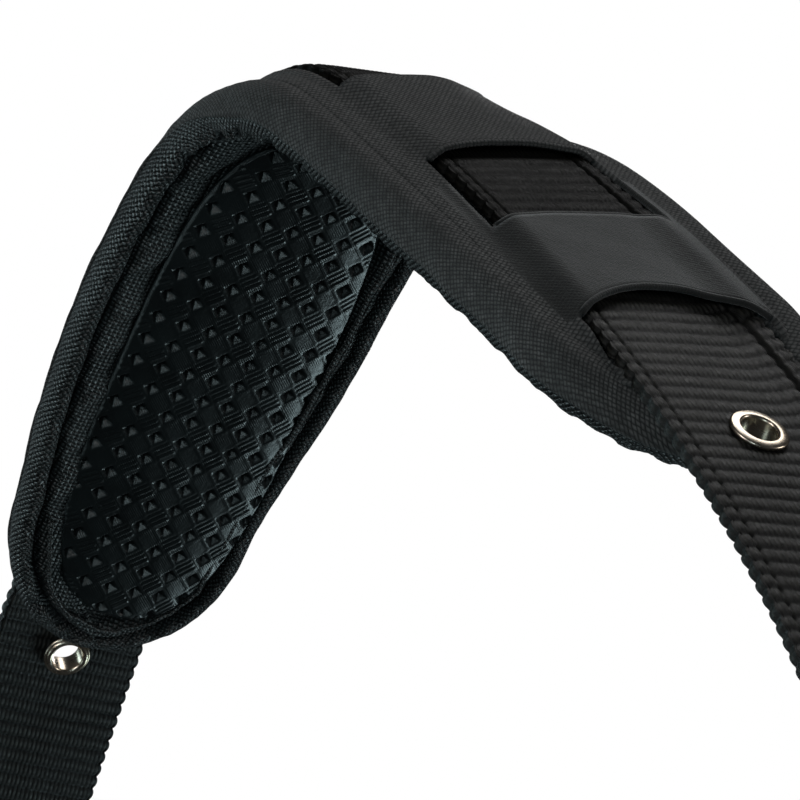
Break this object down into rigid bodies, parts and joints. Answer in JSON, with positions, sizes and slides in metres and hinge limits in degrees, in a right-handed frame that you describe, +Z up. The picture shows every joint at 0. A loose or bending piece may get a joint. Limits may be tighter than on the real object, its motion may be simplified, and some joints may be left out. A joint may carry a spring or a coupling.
{
  "type": "padded martingale neck strap",
  "caption": "Webbing neck strap threaded through a folded anti-slip pad, with metal eyelets and D rings on sewn end loops.",
  "frame": {"origin": "on the underside of the pad's lining at the top of the fold, where the pad rests on the neck", "axes": "+Z up, +Y along the strap towards the far leg, +X across the strap"},
  "size_m": [0.0581, 0.2728, 0.1449],
  "materials": {
    "cover": "matt charcoal woven pad cover, smooth suede-like face on the bridges",
    "foam": "dark closed-cell foam inside the pad",
    "lining": "coarse glossy basket-weave nylon",
    "binding": "coarse basket-weave nylon rolled round the pad edge",
    "grip": "black rubber moulded with a grid of square pits and ribbed blocks",
    "webbing": "heavy ribbed nylon webbing",
    "eyelet": "warm bright nickel plate",
    "ring": "bright nickel-plated steel wire"
  },
  "bodies": {
    "pad": {"outer_cover": "cover", "foam_core": "foam", "inner_lining": "lining", "edge_binding": "binding", "far_grip_patch": "grip", "near_grip_patch": "grip", "near_inner_bridge": "cover", "far_inner_bridge": "cover", "near_end_bridge": "cover", "far_end_bridge": "cover", "threaded_webbing": "webbing"},
    "near_leg": {"near_leg_webbing": "webbing", "near_eyelet": "eyelet", "near_eyelet_washer": "eyelet"},
    "near_ring_body": {"near_ring": "ring"},
    "far_leg": {"far_leg_webbing": "webbing", "far_eyelet": "eyelet", "far_eyelet_washer": "eyelet"},
    "far_ring_body": {"far_ring": "ring"}
  },
  "joints": [
    {"name": "near_leg_flex", "type": "hinge", "parent": "pad", "child": "near_leg", "pos_m": [0.01221, -0.05894, -0.03453], "axis": [-0.9912, 0.0371, -0.1273], "range_deg": [0, 45]},
    {"name": "near_ring_swing", "type": "hinge", "parent": "near_leg", "child": "near_ring_body", "pos_m": [0.00987, -0.12428, -0.10093], "axis": [-0.981, 0.1903, 0.0368], "range_deg": [-35, 70]},
    {"name": "far_leg_flex", "type": "hinge", "parent": "pad", "child": "far_leg", "pos_m": [0.00061, 0.06962, -0.04513], "axis": [0.9957, -0.0665, -0.0652], "range_deg": [0, 45]},
    {"name": "far_ring_swing", "type": "hinge", "parent": "far_leg", "child": "far_ring_body", "pos_m": [0.00844, 0.13603, -0.11363], "axis": [0.9916, -0.1286, 0.0121], "range_deg": [-35, 70]}
  ]
}
